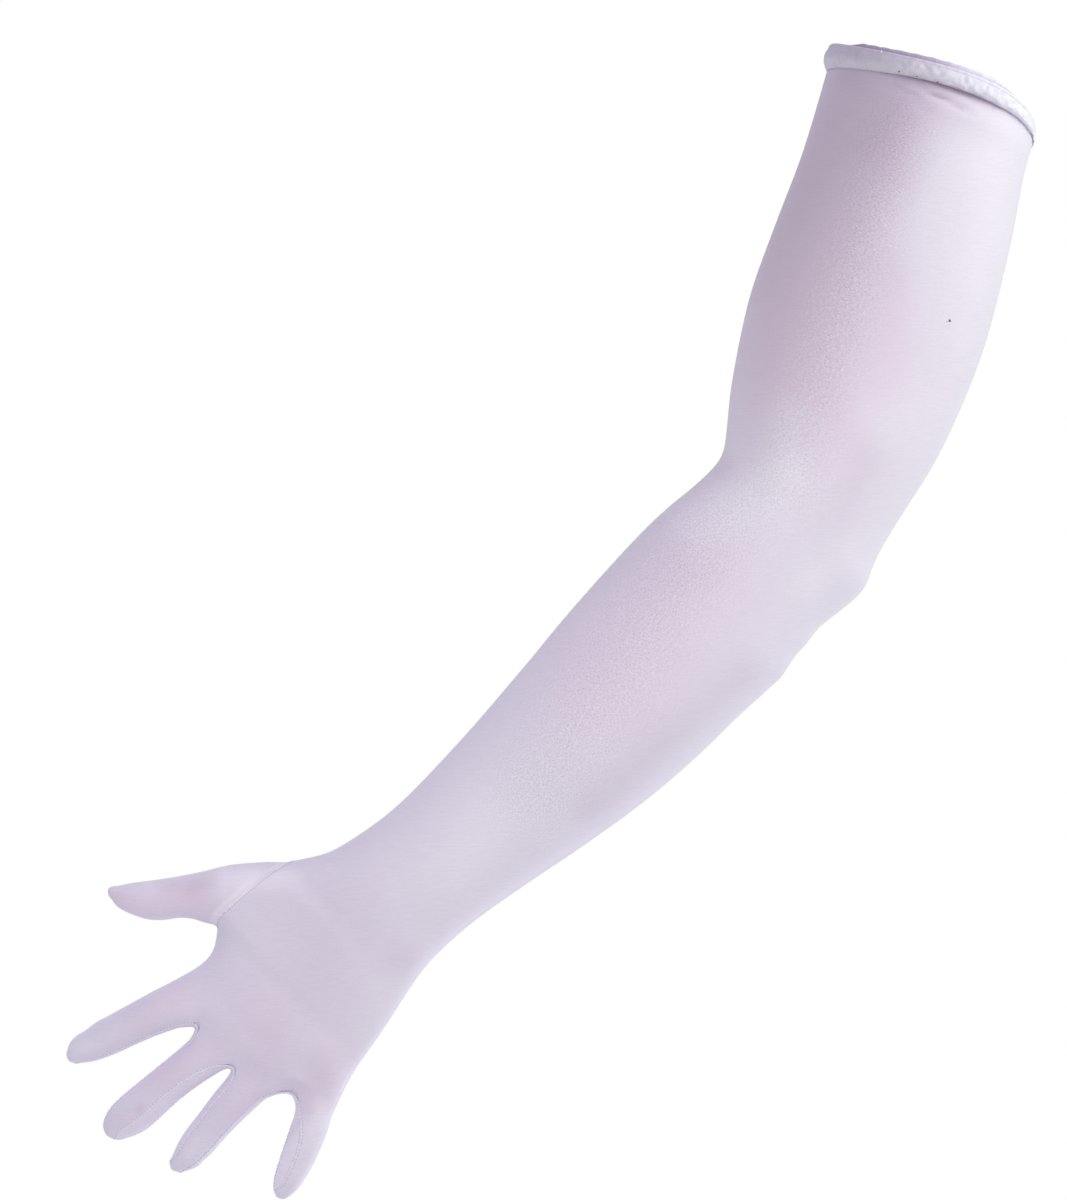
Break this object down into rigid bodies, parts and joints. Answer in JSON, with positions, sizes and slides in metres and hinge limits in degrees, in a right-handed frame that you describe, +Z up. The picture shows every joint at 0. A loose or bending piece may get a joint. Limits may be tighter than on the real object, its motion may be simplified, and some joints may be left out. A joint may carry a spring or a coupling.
{
  "type": "long dress glove",
  "caption": "Close-fitting knit glove for the left arm that reaches past the elbow, with a turned hem, set-in thumb and sewn finger side strips.",
  "frame": {"origin": "centre of the arm opening, inside the hem's upper edge", "axes": "+Z up along the forearm towards the elbow, fingers down; back of the hand towards -Y; thumb towards -X"},
  "size_m": [0.1949, 0.0989, 0.6188],
  "materials": {
    "satin_knit": "soft satin stretch knit, pale lavender white",
    "hem_knit": "the same knit turned double and stitched"
  },
  "bodies": {
    "root": {"upper_sleeve_back": "satin_knit", "upper_sleeve_palm": "satin_knit", "middle_sleeve_back": "satin_knit", "middle_sleeve_palm": "satin_knit", "lower_sleeve_back": "satin_knit", "lower_sleeve_palm": "satin_knit", "hand_back": "satin_knit", "hand_palm": "satin_knit", "thumb": "satin_knit", "fourchette_index_middle": "satin_knit", "fourchette_middle_ring": "satin_knit", "fourchette_ring_little": "satin_knit", "cuff_hem": "hem_knit", "hem_facing": "hem_knit"}
  },
  "joints": []
}
